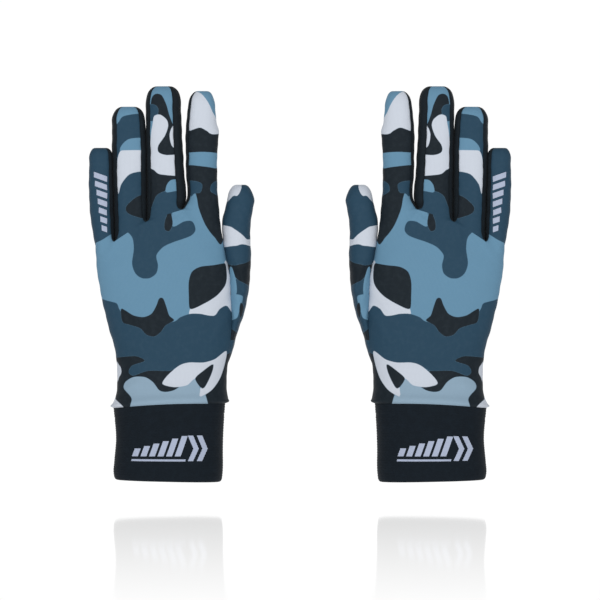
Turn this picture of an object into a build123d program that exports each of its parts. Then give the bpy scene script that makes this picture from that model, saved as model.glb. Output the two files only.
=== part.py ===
"""A pair of thin full-finger stretch gloves, standing on their cuffs with the backs of the hands towards -Y.

Millimetres, +Z from cuff to fingertips. The left glove is modelled at x < 0 and mirrored in the plane x = 0.
Each glove is cut and sewn from a back panel, a palm panel, side strips (fourchettes), a thumb and a double cuff.
"""

from build123d import *
import os
from math import cos, radians, sin, tan

# Cloth
cloth = 1.2  # thickness of the hand's stretch knit
cuff_cloth = 0.9  # thickness of one of the cuff's two layers
clearance = 0.6  # air between neighbouring fingers, and between the thumb and the hand
knuckle_gap = 0.5  # slit between a rigid finger and its root, closed by cloth on the real glove

# Pair
pair_spacing = 163.0  # from cuff centre to cuff centre

# Cuff, an oval tube folded at its lower hem
cuff_width = 67.0
cuff_depth = 44.0
cuff_height = 48.5
cuff_corner = 20.5
hem_fold = 1.8  # height of the fold that joins the two layers
seam_bead = 1.6  # height and thickness of the overlocked wrist seam

# Hand, from the wrist seam to the web beside the little finger
hand_length = 100.0
knuckle_tilt = 12.0  # degrees, the knuckle row rises towards the index finger
little_overhang = 2.3  # how far the little finger stands out past the side of the palm
side_seam = 1.5  # y of the seam between back and palm
knuckle_front = -9.6
knuckle_back = 9.2

# Fingers: width, length from knuckle to tip, and the printed strip's two margins
little_width, little_length = 14.1, 50.3
ring_width, ring_length = 19.9, 63.8
middle_width, middle_length = 22.4, 69.0
index_width, index_length = 20.2, 66.0
middle_index_gap = 2.4
finger_corner = 7.0
corner_share = 0.46  # most of a tube's width or depth that a corner may take
tip_rounding = 9.0
tip_draw_share = 0.38  # most of a finger's width that its tip may draw in

# Closing of a fingertip: depth below the tip as a share of the rounding, and how far the tube has drawn in there
tip_closing = [(1.0, 0.0), (0.42, 1.0), (0.14, 3.2), (0.0, 5.6)]

# Webs, measured up from the web beside the little finger, and the knuckle line above each finger's higher web
ring_web_rise = 12.0
index_web_rise = 19.5
knuckle_rise = 8.0
web_drop = 14.0  # how far the foot of a fourchette reaches down into the hand
web_overlap = 3.5  # how far its filler reaches into the two finger roots
web_inset = 3.0  # how far the filler lies behind the front and back of the fingers
root_draw = 1.5  # how far the little finger's root is drawn into the side of the palm

# Thumb
thumb_knuckle = 71.5  # above the wrist seam
thumb_length = 64.1
thumb_width = 17.6
thumb_front, thumb_back = -6.0, 14.0
thumb_stand_off = 1.6  # from the index finger's side to the thumb's
thumb_room = 0.3  # added to the clearance where the thumb lies along the hand
thumb_ease = 1.4  # how much wider than its set width the thumb may be
touch_tip = 20.0  # length of the conductive patches on index finger and thumb

# Prints and label
print_skin = 0.25
emblem_height = 12.0
emblem_rise = 21.5  # centre of the cuff print above the hem
emblem_bar = 3.6
emblem_step = 5.2
emblem_slant = 20.0  # degrees
emblem_shortest = 0.4  # height of the first bar as a share of the last
cuff_bars, finger_bars = 6, 5
finger_emblem_share = 0.5  # height of the little finger's print as a share of its width
finger_emblem_rise = 0.42  # its place up the finger
label_width, label_drop, label_cloth = 14.0, 18.0, 0.6

glove_x = -pair_spacing / 2
wrist = cuff_height
little_web = wrist + hand_length
half_cuff = cuff_width / 2

# The four fingers from the little finger inwards
row_left = glove_x - 49.3
little_left = row_left
ring_left = little_left + little_width + clearance
middle_left = ring_left + ring_width + clearance
index_left = middle_left + middle_width + middle_index_gap
row_right = index_left + index_width

little_knuckle = little_web + knuckle_rise
ring_knuckle = little_web + ring_web_rise + knuckle_rise
index_knuckle = little_web + index_web_rise + knuckle_rise

# name: left edge, width, knuckle height, length, lean towards the little finger, margins of the printed strip
fingers = {
    "little": (little_left, little_width, little_knuckle, little_length, 1.0, 0.8, 1.6),
    "ring": (ring_left, ring_width, ring_knuckle, ring_length, 1.6, 2.6, 3.6),
    "middle": (middle_left, middle_width, index_knuckle, middle_length, 1.6, 2.4, 5.0),
    "index": (index_left, index_width, index_knuckle, index_length, 0.6, 2.0, 1.2),
}
webs = {
    "little_ring": ("little", "ring", little_web),
    "ring_middle": ("ring", "middle", little_web + ring_web_rise),
    "middle_index": ("middle", "index", little_web + index_web_rise),
}


def blend(a, b, share):
    """The value that lies the given share of the way from a to b."""
    return a + (b - a) * share


# Sections of the hand: height as a share of its length, share of the way from wrist width to knuckle width on
# the little-finger side, swell on the thumb side, front, back, corner and tilt.
wrist_left, wrist_right = glove_x - half_cuff, glove_x + half_cuff
palm_left = row_left + little_overhang
half_depth = cuff_depth / 2
hand_sections = [
    (0.0, 0.11, 3.0, -half_depth + 0.4, half_depth - 0.4, 20.0, 0),
    (0.055, -0.04, 2.0, -half_depth + 1.5, half_depth - 1.5, 19.0, 0),
    (0.135, -0.12, 3.0, -19.0, 19.5, 18.0, 0),
    (0.275, -0.07, 5.4, -17.0, 18.5, 16.5, 0),
    (0.415, 0.15, 8.0, -16.0, 18.0, 15.5, 2),
    (0.575, 0.41, 8.2, -15.2, 17.0, 14.5, 4),
    (0.785, 0.76, 6.6, -14.2, 15.0, 13.5, 7),
    (0.915, 0.85, 3.6, -13.2, 13.5, 12.5, 10),
    (1.03, 0.96, 2.7, -12.0, 12.2, 11.0, knuckle_tilt),
]


def hand_edges(share, left_share, swell):
    """Left and right edge of the hand at one section."""
    left = blend(wrist_left, palm_left, left_share)
    right = blend(wrist_right, row_right, min(share, 1.0)) + swell
    return left, right


def hand_loft(inset, drop):
    """The hand's outside, or its hollow when inset by the cloth, open downwards by drop."""
    with BuildPart() as solid:
        for share, left_share, swell, front, back, corner, tilt in hand_sections:
            left, right = hand_edges(share, left_share, swell)
            height = wrist + share * hand_length
            if share == hand_sections[0][0]:
                height -= drop
            if share == hand_sections[-1][0]:
                height -= inset
            lean = radians(tilt)
            level = Plane(
                origin=((left + right) / 2, (front + back) / 2, height),
                x_dir=(cos(lean), 0, sin(lean)),
                z_dir=(-sin(lean), 0, cos(lean)),
            )
            with BuildSketch(level):
                RectangleRounded(right - left - 2 * inset, back - front - 2 * inset, corner - inset)
        loft(ruled=True)
    return solid.part


def tube(levels, inset):
    """A closed tube through levels of (height, left, right, front, back), drawn in by inset."""
    with BuildPart() as solid:
        for height, left, right, front, back in levels:
            width, depth = right - left - 2 * inset, back - front - 2 * inset
            corner = min(finger_corner - inset, corner_share * width, corner_share * depth)
            with BuildSketch(Plane((left / 2 + right / 2, front / 2 + back / 2, height))):
                RectangleRounded(width, depth, corner)
        loft(ruled=True)
    return solid.part


def finger_levels(name, inset):
    """Levels of a finger from its knuckle to its rounded tip."""
    left, width, knuckle, length, lean, _, _ = fingers[name]
    start = knuckle - 1 if inset > 0 else knuckle + knuckle_gap / 2
    tip = knuckle + length - inset
    levels = [(start, left, left + width, knuckle_front, knuckle_back)]
    for share, draw in tip_closing:
        height = tip - share * tip_rounding
        shift = tan(radians(lean)) * (height - knuckle)
        reach = min(draw, tip_draw_share * width)
        levels.append(
            (height, left - shift + reach, left - shift + width - reach, knuckle_front + draw, knuckle_back - draw)
        )
    return levels


def finger_tube(name, inset):
    return tube(finger_levels(name, inset), inset)


def stub_tube(name, inset):
    """The root of a finger, which stays on the hand and ends at the knuckle."""
    left, width, knuckle, *_ = fingers[name]
    foot = little_web - web_drop
    head = knuckle - knuckle_gap / 2 if not inset else knuckle + 1
    levels = [(foot, left, left + width, knuckle_front, knuckle_back)]
    if name == "little":
        # the little finger's root runs into the side of the palm
        levels[0] = (foot, left + little_overhang + root_draw, left + width, knuckle_front, knuckle_back)
    levels.append((head, left, left + width, knuckle_front, knuckle_back))
    return tube(levels, inset)


def slab(left, right, front, back, low, high):
    """A block used to cut the shells into their sewn pieces."""
    with BuildPart() as solid:
        with Locations(((left + right) / 2, (front + back) / 2, (low + high) / 2)):
            Box(right - left, back - front, high - low)
    return solid.part


far = 200.0
top = index_knuckle + far


def hand_right_at(height):
    """The thumb-side edge of the hand at a height, read from its tilted sections."""
    rim = []
    for share, left_share, swell, _, _, _, tilt in hand_sections:
        left, right = hand_edges(share, left_share, swell)
        reach = (right - left) / 2
        lean = radians(tilt)
        rim.append((wrist + share * hand_length + reach * sin(lean), (left + right) / 2 + reach * cos(lean)))
    for (low, low_edge), (high, high_edge) in zip(rim, rim[1:]):
        if low <= height <= high:
            return blend(low_edge, high_edge, (height - low) / (high - low))
    return row_right


# Thumb levels: height above its knuckle as a share of its length, outer edge past the thumb's own width,
# front and back moved towards the palm, and how far the tube has drawn in.
thumb_base_height = wrist + thumb_knuckle
thumb_outer = glove_x + 51.0
thumb_levels = []
for share, out, forward, draw in [
    (0.0, -1.0, -2.0, 0.0),
    (0.23, 0.0, -1.0, 0.0),
    (0.45, 0.0, 0.0, 0.0),
    (0.66, 0.2, 0.6, 0.0),
    (0.82, 2.2, 1.0, 0.4),
    (0.91, 2.4, 1.0, 1.6),
    (0.97, 1.8, 0.6, 4.0),
    (1.0, 1.0, 0.4, 6.4),
]:
    height = thumb_base_height + share * thumb_length
    inner = max(hand_right_at(height), row_right + thumb_stand_off) + clearance + thumb_room
    inner = max(inner, thumb_outer + out - thumb_width - thumb_ease)
    thumb_levels.append(
        (
            height,
            inner + draw,
            thumb_outer + out - draw,
            thumb_front + forward + draw,
            thumb_back - forward - draw,
        )
    )

# Root of the thumb: height as a share of the hand, reach into and out of the wrist's side, and how far front
# and back are moved towards the palm
thumb_root_sections = [(0.36, -9.0, 5.0, 2.0, 1.0), (0.48, -8.0, 10.6, 0.0, 2.0), (0.57, -6.0, 13.8, -1.0, 2.0)]
thumb_base_levels = [
    (wrist + share * hand_length, wrist_right + inner, wrist_right + outer, thumb_front + front, thumb_back + back)
    for share, inner, outer, front, back in thumb_root_sections
]
thumb_base_levels.append((thumb_base_height, *thumb_levels[0][1:]))


def cut_levels(levels, low, high):
    """The same levels with the first moved up by low and the last by high."""
    changed = list(levels)
    changed[0] = (changed[0][0] + low, *changed[0][1:])
    changed[-1] = (changed[-1][0] + high, *changed[-1][1:])
    return changed


# Whole envelopes, cut into pieces below
hand_outside = hand_loft(0, 0)
hand_hollow = hand_loft(cloth, 1)
stubs = {name: stub_tube(name, 0) for name in fingers}
stub_hollows = {name: stub_tube(name, cloth) for name in fingers}
thumb_base_outside = tube(cut_levels(thumb_base_levels, 0, -knuckle_gap / 2), 0)
thumb_base_hollow = tube(cut_levels(thumb_base_levels, cloth, 1), cloth)
thumb_outside = tube(cut_levels(thumb_levels, knuckle_gap / 2, 0), 0)
thumb_hollow = tube(cut_levels(thumb_levels, -1, -cloth), cloth)


def web_filler(web):
    """Solid cloth between two finger roots, up to the level of their web."""
    first, second, height = webs[web]
    left = fingers[first][0] + fingers[first][1] - web_overlap
    right = fingers[second][0] + web_overlap
    return slab(left, right, knuckle_front + web_inset, knuckle_back - web_inset, height - web_drop, height)


with BuildPart() as hand_shell:
    add(hand_outside)
    for stub in stubs.values():
        add(stub)
    for web in webs:
        add(web_filler(web))
    add(hand_hollow, mode=Mode.SUBTRACT)
    for hollow in stub_hollows.values():
        add(hollow, mode=Mode.SUBTRACT)
    add(thumb_base_hollow, mode=Mode.SUBTRACT)


def web_block(web):
    """The block that holds a fourchette's foot: both finger walls beside the web."""
    first, second, height = webs[web]
    left = fingers[first][0] + fingers[first][1] - fingers[first][6]
    right = fingers[second][0] + fingers[second][5]
    return slab(left, right, -far, far, height - web_drop, top)


pieces = {}

# Back panel: the printed front of the hand with the four finger roots
with BuildPart() as back_panel:
    add(hand_shell.part)
    add(slab(glove_x - far, glove_x + far, side_seam, far, -far, top), mode=Mode.SUBTRACT)
    for web in webs:
        add(web_block(web), mode=Mode.SUBTRACT)
pieces["back_panel"] = back_panel

# Palm panel: the plain dark side
with BuildPart() as palm_panel:
    add(hand_shell.part)
    add(slab(glove_x - far, glove_x + far, -far, side_seam, -far, top), mode=Mode.SUBTRACT)
    for web in webs:
        add(web_block(web), mode=Mode.SUBTRACT)
pieces["palm_panel"] = palm_panel

# Feet of the three fourchettes, which make the webs
for web in webs:
    with BuildPart() as foot:
        add(hand_shell.part)
        add(web_block(web), mode=Mode.INTERSECT)
    pieces[web + "_web"] = foot

# Thumb gusset: the printed root of the thumb on the side of the hand
with BuildPart() as thumb_gusset:
    add(thumb_base_outside)
    add(thumb_base_hollow, mode=Mode.SUBTRACT)
    add(hand_outside, mode=Mode.SUBTRACT)
pieces["thumb_gusset"] = thumb_gusset

# Cuff: outer layer with the hem fold, and the lining inside it
with BuildPart() as cuff_outer:
    with BuildSketch(Plane.XY):
        with Locations((glove_x, 0)):
            RectangleRounded(cuff_width, cuff_depth, cuff_corner)
    extrude(amount=cuff_height)
    with BuildSketch(Plane.XY.offset(hem_fold)):
        with Locations((glove_x, 0)):
            RectangleRounded(
                cuff_width - 2 * cuff_cloth, cuff_depth - 2 * cuff_cloth, cuff_corner - cuff_cloth
            )
    extrude(amount=cuff_height, mode=Mode.SUBTRACT)
    with BuildSketch(Plane.XY):
        with Locations((glove_x, 0)):
            RectangleRounded(
                cuff_width - 4 * cuff_cloth, cuff_depth - 4 * cuff_cloth, cuff_corner - 2 * cuff_cloth
            )
    extrude(amount=cuff_height, mode=Mode.SUBTRACT)
pieces["cuff_outer"] = cuff_outer

with BuildPart() as cuff_lining:
    with BuildSketch(Plane.XY.offset(hem_fold)):
        with Locations((glove_x, 0)):
            RectangleRounded(
                cuff_width - 2 * cuff_cloth, cuff_depth - 2 * cuff_cloth, cuff_corner - cuff_cloth
            )
            RectangleRounded(
                cuff_width - 4 * cuff_cloth,
                cuff_depth - 4 * cuff_cloth,
                cuff_corner - 2 * cuff_cloth,
                mode=Mode.SUBTRACT,
            )
    extrude(amount=cuff_height - hem_fold - seam_bead)
pieces["cuff_lining"] = cuff_lining

# Wrist seam: the overlocked bead that joins lining, cuff and hand, inside the glove
with BuildPart() as wrist_seam:
    with BuildSketch(Plane.XY.offset(cuff_height - seam_bead)):
        with Locations((glove_x, 0)):
            RectangleRounded(
                cuff_width - 2 * cuff_cloth, cuff_depth - 2 * cuff_cloth, cuff_corner - cuff_cloth
            )
            RectangleRounded(
                cuff_width - 2 * cuff_cloth - 2 * seam_bead,
                cuff_depth - 2 * cuff_cloth - 2 * seam_bead,
                cuff_corner - cuff_cloth - seam_bead,
                mode=Mode.SUBTRACT,
            )
    extrude(amount=seam_bead)
pieces["wrist_seam"] = wrist_seam

# Size label: a blank woven tab that hangs from the wrist seam inside the back of the cuff
label_face = -cuff_depth / 2 + 2 * cuff_cloth
with BuildPart() as size_label:
    with Locations((glove_x, label_face + label_cloth / 2, cuff_height - seam_bead - label_drop / 2)):
        Box(label_width, label_cloth, label_drop)
pieces["size_label"] = size_label

# Fingers: printed back strip, plain palm strip and the two fourchette legs between them
for name, (left, width, knuckle, length, lean, left_margin, right_margin) in fingers.items():
    outside = finger_tube(name, 0)
    hollow = finger_tube(name, cloth)
    shift = tan(radians(lean)) * length
    tip = knuckle + length
    # the strip between the two margins, leaning with the finger
    with BuildPart() as strip:
        with BuildSketch(Plane.XZ.offset(-far)):
            with BuildLine():
                Polyline(
                    (left + left_margin, knuckle - 1),
                    (left + width - right_margin, knuckle - 1),
                    (left + width - right_margin - shift, tip + 1),
                    (left + left_margin - shift, tip + 1),
                    close=True,
                )
            make_face()
        extrude(amount=2 * far)
    with BuildPart() as finger_back:
        add(outside)
        add(hollow, mode=Mode.SUBTRACT)
        add(strip.part, mode=Mode.INTERSECT)
        add(slab(left - far, left + far, side_seam - 1, far, -far, top), mode=Mode.SUBTRACT)
    pieces[name + "_finger_back"] = finger_back
    with BuildPart() as finger_palm:
        add(outside)
        add(hollow, mode=Mode.SUBTRACT)
        add(strip.part, mode=Mode.INTERSECT)
        add(slab(left - far, left + far, -far, side_seam - 1, -far, top), mode=Mode.SUBTRACT)
        if name == "index":
            add(slab(left - far, left + far, -far, far, tip - touch_tip, top), mode=Mode.SUBTRACT)
    pieces[name + "_finger_palm"] = finger_palm
    with BuildPart() as fourchette:
        add(outside)
        add(hollow, mode=Mode.SUBTRACT)
        add(strip.part, mode=Mode.SUBTRACT)
    pieces[name + "_finger_sides"] = fourchette
    if name == "index":
        # Touch tip: conductive knit on the pad of the finger
        with BuildPart() as index_touch_tip:
            add(outside)
            add(hollow, mode=Mode.SUBTRACT)
            add(strip.part, mode=Mode.INTERSECT)
            add(slab(left - far, left + far, -far, side_seam - 1, -far, top), mode=Mode.SUBTRACT)
            add(slab(left - far, left + far, -far, far, -far, tip - touch_tip), mode=Mode.SUBTRACT)
        pieces["index_touch_tip"] = index_touch_tip

# Thumb: printed back, plain palm side and its touch tip
thumb_seam = (thumb_front + thumb_back) / 2
thumb_tip = thumb_base_height + thumb_length
with BuildPart() as thumb_back_piece:
    add(thumb_outside)
    add(thumb_hollow, mode=Mode.SUBTRACT)
    add(slab(glove_x - far, glove_x + far, thumb_seam, far, -far, top), mode=Mode.SUBTRACT)
pieces["thumb_back"] = thumb_back_piece
with BuildPart() as thumb_palm:
    add(thumb_outside)
    add(thumb_hollow, mode=Mode.SUBTRACT)
    add(slab(glove_x - far, glove_x + far, -far, thumb_seam, -far, top), mode=Mode.SUBTRACT)
    add(slab(glove_x - far, glove_x + far, -far, far, thumb_tip - touch_tip, top), mode=Mode.SUBTRACT)
pieces["thumb_palm"] = thumb_palm
with BuildPart() as thumb_touch_tip:
    add(thumb_outside)
    add(thumb_hollow, mode=Mode.SUBTRACT)
    add(slab(glove_x - far, glove_x + far, -far, thumb_seam, -far, top), mode=Mode.SUBTRACT)
    add(slab(glove_x - far, glove_x + far, -far, far, -far, thumb_tip - touch_tip), mode=Mode.SUBTRACT)
pieces["thumb_touch_tip"] = thumb_touch_tip


def emblem_bars(count, height):
    """Corner points of slanted bars that grow from left to right, a plain sports mark."""
    lean = tan(radians(emblem_slant))
    low = -height / 2
    bars = []
    for number in range(count):
        tall = height * blend(emblem_shortest, 1, number / (count - 1))
        foot = (number - (count - 1) / 2) * emblem_step - emblem_bar / 2
        bars.append(
            [
                (foot + lean * low, low),
                (foot + emblem_bar + lean * low, low),
                (foot + emblem_bar + lean * (low + tall), low + tall),
                (foot + lean * (low + tall), low + tall),
            ]
        )
    return bars


# Cuff emblem: a thin transfer print on the front of the cuff
with BuildPart() as cuff_emblem:
    with BuildSketch(Plane.XZ * Location((glove_x, emblem_rise, 0))):
        for bar in emblem_bars(cuff_bars, emblem_height):
            Polygon(*bar, align=None)
    extrude(amount=cuff_depth)
    with BuildSketch(Plane.XY):
        with Locations((glove_x, 0)):
            RectangleRounded(
                cuff_width + 2 * print_skin, cuff_depth + 2 * print_skin, cuff_corner + print_skin
            )
            RectangleRounded(cuff_width, cuff_depth, cuff_corner, mode=Mode.SUBTRACT)
    extrude(amount=cuff_height, mode=Mode.INTERSECT)
pieces["cuff_emblem"] = cuff_emblem

# Little-finger emblem: the same bars up the back of the little finger
with BuildPart() as little_emblem:
    print_height = little_knuckle + little_length * finger_emblem_rise
    with BuildSketch(Plane.XZ * Location((little_left + little_width / 2, print_height, 0), (0, 0, 90))):
        for bar in emblem_bars(finger_bars, little_width * finger_emblem_share):
            Polygon(*bar, align=None)
    extrude(amount=cuff_depth)
    add(tube(finger_levels("little", 0), -print_skin), mode=Mode.INTERSECT)
    add(finger_tube("little", 0), mode=Mode.SUBTRACT)
pieces["little_finger_emblem"] = little_emblem

os.makedirs("parts", exist_ok=True)
for name, piece in pieces.items():
    piece.part.label = "left_" + name
    export_step(piece.part, "parts/left_" + name + ".step")
    if name == "cuff_emblem":
        # the print on both cuffs reads the same way, so this one is moved across instead of mirrored
        twin = piece.part.moved(Location((pair_spacing, 0, 0)))
    else:
        twin = mirror(piece.part, about=Plane.YZ)
    twin.label = "right_" + name
    export_step(twin, "parts/right_" + name + ".step")
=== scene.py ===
import math

import bpy
import numpy as np
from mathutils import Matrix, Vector


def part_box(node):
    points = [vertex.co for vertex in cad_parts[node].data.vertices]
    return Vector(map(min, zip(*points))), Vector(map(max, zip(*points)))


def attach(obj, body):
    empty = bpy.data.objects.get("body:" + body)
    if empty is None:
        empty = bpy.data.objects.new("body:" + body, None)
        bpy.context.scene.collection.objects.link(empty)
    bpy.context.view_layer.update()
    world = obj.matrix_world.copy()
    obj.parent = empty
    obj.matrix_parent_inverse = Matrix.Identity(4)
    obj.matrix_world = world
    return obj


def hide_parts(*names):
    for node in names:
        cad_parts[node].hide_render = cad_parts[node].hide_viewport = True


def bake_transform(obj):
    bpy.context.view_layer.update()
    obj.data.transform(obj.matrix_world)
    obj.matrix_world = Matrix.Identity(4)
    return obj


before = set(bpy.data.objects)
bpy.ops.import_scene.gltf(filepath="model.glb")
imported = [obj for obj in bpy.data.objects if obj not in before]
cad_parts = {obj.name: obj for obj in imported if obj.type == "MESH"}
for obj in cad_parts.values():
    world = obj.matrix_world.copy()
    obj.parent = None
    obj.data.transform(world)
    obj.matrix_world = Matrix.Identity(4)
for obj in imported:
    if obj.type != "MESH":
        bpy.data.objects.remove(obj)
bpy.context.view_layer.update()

# ---------------------------------------------------------------------------------------------------------
# The stage. The pair hangs upright just above a pale, faintly polished floor, lit evenly from all round by
# soft boxes, and is seen level and straight on to the backs of the hands.

mm = 0.001
middle_height = 112.5 * mm
camera_distance = 2.2
view_across = 0.372
sensor = 36.0

camera_data = bpy.data.cameras.new("studio_camera")
camera_data.sensor_width = sensor
camera_data.lens = sensor * camera_distance / view_across
camera_data.clip_end = 20
camera = bpy.data.objects.new("studio_camera", camera_data)
camera.location = (0, -camera_distance, middle_height)
camera.rotation_euler = (math.pi / 2, 0, 0)
bpy.context.scene.collection.objects.link(camera)
bpy.context.scene.camera = camera
bpy.context.scene.view_settings.view_transform = "Standard"

def soft_box(name, place, size, power):
    """A square soft box that faces the middle of the pair."""
    light = bpy.data.lights.new(name, "AREA")
    light.size = size
    light.energy = power
    lamp = bpy.data.objects.new(name, light)
    lamp.location = place
    facing = Vector((0, 0, middle_height)) - Vector(place)
    lamp.rotation_euler = facing.to_track_quat("-Z", "Y").to_euler()
    bpy.context.scene.collection.objects.link(lamp)


soft_box("key_light", (-0.6, -1.5, 1.2), 0.8, 7)
soft_box("fill_light", (0.7, -1.5, 0.6), 0.8, 3)


class Socket:
    """A shader socket that takes part in ordinary sums."""

    def __init__(self, tree, link=None):
        self.tree, self.link = tree, link

    def node(self, kind, settings, sockets, output=0):
        made = self.tree.nodes.new(kind)
        for name, value in settings.items():
            setattr(made, name, value)
        for name, value in sockets.items():
            if isinstance(value, Socket):
                self.tree.links.new(value.link, made.inputs[name])
            else:
                made.inputs[name].default_value = value
        return Socket(self.tree, made.outputs[output] if len(made.outputs) else None)

    def maths(self, operation, *values, clamp=False):
        settings = {"operation": operation, "use_clamp": clamp}
        return self.node("ShaderNodeMath", settings, dict(enumerate(values)))

    def __add__(self, other):
        return self.maths("ADD", self, other)

    def __sub__(self, other):
        return self.maths("SUBTRACT", self, other)

    def __rsub__(self, other):
        return self.maths("SUBTRACT", other, self)

    def __mul__(self, other):
        return self.maths("MULTIPLY", self, other)

    def __truediv__(self, other):
        return self.maths("DIVIDE", self, other)

    __radd__ = __add__
    __rmul__ = __mul__

    def clamped(self):
        return self.maths("ADD", self, 0.0, clamp=True)

    def axis(self, name):
        """One of the three parts of a place or direction."""
        split = self.node("ShaderNodeSeparateXYZ", {}, {0: self})
        return Socket(self.tree, split.link.node.outputs[name])

    def stored(self, name, output):
        """A value kept on the mesh: output 1 is a place, output 2 a number."""
        return self.node("ShaderNodeAttribute", {"attribute_name": name}, {}, output=output)

    def noise(self, scale, detail):
        """Cloudy noise over a place."""
        return self.node("ShaderNodeTexNoise", {}, {"Vector": self, "Scale": scale, "Detail": detail})

    def bump(self, strength):
        """The height as a normal."""
        return self.node("ShaderNodeBump", {}, {"Strength": strength, "Distance": mm, "Height": self})

    def dyed(self, *levels):
        colour = self.node("ShaderNodeRGB", {}, {})
        colour.link.default_value = tint(*levels)
        return colour

    def wave(self):
        """A sine of the value, from 0 to 1."""
        return self.maths("SINE", self) * 0.5 + 0.5

    def painted(self, colour, mask):
        """This colour with another laid over it where the mask is 1."""
        return self.node(
            "ShaderNodeMix", {"data_type": "RGBA"}, {0: mask, 6: self, 7: colour}, output=2
        )


def tint(red, green, blue):
    """A dye as a shader colour, from the usual 0 to 255 values."""
    shares = (level / 255 for level in (red, green, blue))
    return (*(((share + 0.055) / 1.055) ** 2.4 if share > 0.04 else share / 12.92 for share in shares), 1)


def new_material(name):
    made = bpy.data.materials.new(name)
    made.use_nodes = True
    made.node_tree.nodes.clear()
    return made, Socket(made.node_tree)


def finish(shader, surface):
    shader.node("ShaderNodeOutputMaterial", {}, {"Surface": surface})


def finish_dull(shader, colour, roughness, normal, **details):
    """An opaque surface, with anything else it needs given by its socket's name."""
    sockets = {"Base Color": colour, "Roughness": roughness, "Normal": normal}
    sockets.update({name.replace("_", " "): value for name, value in details.items()})
    finish(shader, shader.node("ShaderNodeBsdfPrincipled", {}, sockets))


def studio_world():
    """White paper all round, bright in front and behind and in half shade at the sides."""
    made = bpy.data.worlds.new("studio")
    made.use_nodes = True
    made.node_tree.nodes.clear()
    shader = Socket(made.node_tree)
    depth = shader.node("ShaderNodeTexCoord", {}, {}).axis("Y")
    lit = depth * depth * 0.92 + 0.29
    seen = shader.node("ShaderNodeLightPath", {}, {})
    strength = lit + seen * (1.02 - lit)
    paper = shader.node("ShaderNodeBackground", {}, {"Color": (1, 1, 1, 1), "Strength": strength})
    shader.node("ShaderNodeOutputWorld", {}, {"Surface": paper})
    return made


bpy.context.scene.world = studio_world()


def floor_material():
    """White and lit from below, with a polish that fades out towards the camera."""
    made, shader = new_material("pale_floor")
    paint = shader.node(
        "ShaderNodeBsdfPrincipled", {},
        {"Base Color": (0, 0, 0, 1), "Roughness": 1.0, "Specular IOR Level": 0.0,
         "Emission Color": (1, 1, 1, 1), "Emission Strength": 1.0},
    )
    polish = shader.node("ShaderNodeBsdfGlossy", {}, {"Color": (1, 1, 1, 1), "Roughness": 0.06})
    depth = shader.node("ShaderNodeNewGeometry", {}, {}).axis("Y")
    share = shader.maths("MINIMUM", (depth * 0.48 + 0.376).clamped(), 0.27)
    finish(shader, shader.node("ShaderNodeMixShader", {}, {0: share, 1: paint, 2: polish}))
    return made


floor_drop = -11.4 * mm
floor_reach = 6.0
floor_mesh = bpy.data.meshes.new("floor")
floor_mesh.from_pydata(
    [(x * floor_reach, y * floor_reach, floor_drop) for x, y in ((-1, -1), (1, -1), (1, 1), (-1, 1))],
    [],
    [(0, 1, 2, 3)],
)
floor = bpy.data.objects.new("floor", floor_mesh)
floor_mesh.materials.append(floor_material())
bpy.context.scene.collection.objects.link(floor)

# ---------------------------------------------------------------------------------------------------------
# Back panel. One piece of smooth stretch knit, dyed by transfer with a camouflage in five greys and blues,
# cut in one with the backs of the fingers. It is sewn to the palm panel down both sides of the hand.

# A glove is laid out in millimetres from the middle of its cuff: u towards the thumb, y to the palm, z up.
cuff_low, cuff_high = (np.array(corner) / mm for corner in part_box("left_cuff_outer"))
glove_middle = (cuff_low[0] + cuff_high[0]) / 2
cuff_top = cuff_high[2]
glove_sides = {"left": 1, "right": -1}
knit_thickness = 0.8


def through(*points):
    """A smooth curve through a few (height, value) points."""
    heights, values = np.array(points, float).T
    slopes = np.gradient(values, heights)

    def value_at(height):
        height = np.clip(height, heights[0], heights[-1])
        below = np.clip(np.searchsorted(heights, height, side="right") - 1, 0, len(heights) - 2)
        gap = heights[below + 1] - heights[below]
        t = (height - heights[below]) / gap
        start = (2 * t**3 - 3 * t**2 + 1) * values[below] + (t**3 - 2 * t**2 + t) * gap * slopes[below]
        end = (3 * t**2 - 2 * t**3) * values[below + 1] + (t**3 - t**2) * gap * slopes[below + 1]
        return start + end

    return value_at


def smooth(t):
    t = np.clip(t, 0, 1)
    return t * t * (3 - 2 * t)


def mix(a, b, t):
    return a + (b - a) * t


def section(angle, edges, fullness, sink=0.0):
    """A point round an oval section: angle 0 is the thumb side, a quarter turn is the back of the hand."""
    left, right, front, back = edges
    wide, deep = (right - left) / 2 - sink, (back - front) / 2 - sink
    cos, sin = np.cos(angle), np.sin(angle)
    u = (left + right) / 2 + wide * np.sign(cos) * np.abs(cos) ** (2 / fullness)
    y = (front + back) / 2 - deep * np.sign(sin) * np.abs(sin) ** (2 / fullness)
    return u, y


hand_outline = (
    through(
        (47.4, -33.9), (48.4, -35.9), (50.2, -34.6), (53, -33.2), (57, -32.1), (64, -31.8), (80, -32.9),
        (96, -37.3), (112, -41.1), (128, -43.9), (148, -45.6), (156, -47.3), (171, -49), (185, -49.2),
    ),
    through(
        (47.4, 35), (48.6, 37.6), (50.4, 37.1), (53, 36.6), (57, 36.1), (64, 36.1), (72, 36.8), (80, 39),
        (90, 40.4), (104, 40.3), (116, 39.4), (128, 38.7), (138, 36), (150, 33.8), (161, 32.2), (172, 31),
        (185, 30.4),
    ),
    through((47.4, -22.1), (48.4, -22.8), (54, -20.6), (62, -19), (76, -17), (90, -16), (106, -15.2),
            (127, -14.2), (140, -13.2), (151, -12), (165, -10.8), (180, -9.8)),
    through((47.4, 22.1), (48.4, 22.8), (54, 20.6), (62, 19.5), (76, 18.5), (90, 18), (106, 17),
            (127, 15), (140, 13.5), (151, 12.2), (165, 10.8), (180, 9.4)),
)
hand_fullness = 2.5
side_seam_angle = math.radians(5)
seam_depth, seam_width = 0.4, 0.7


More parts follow.
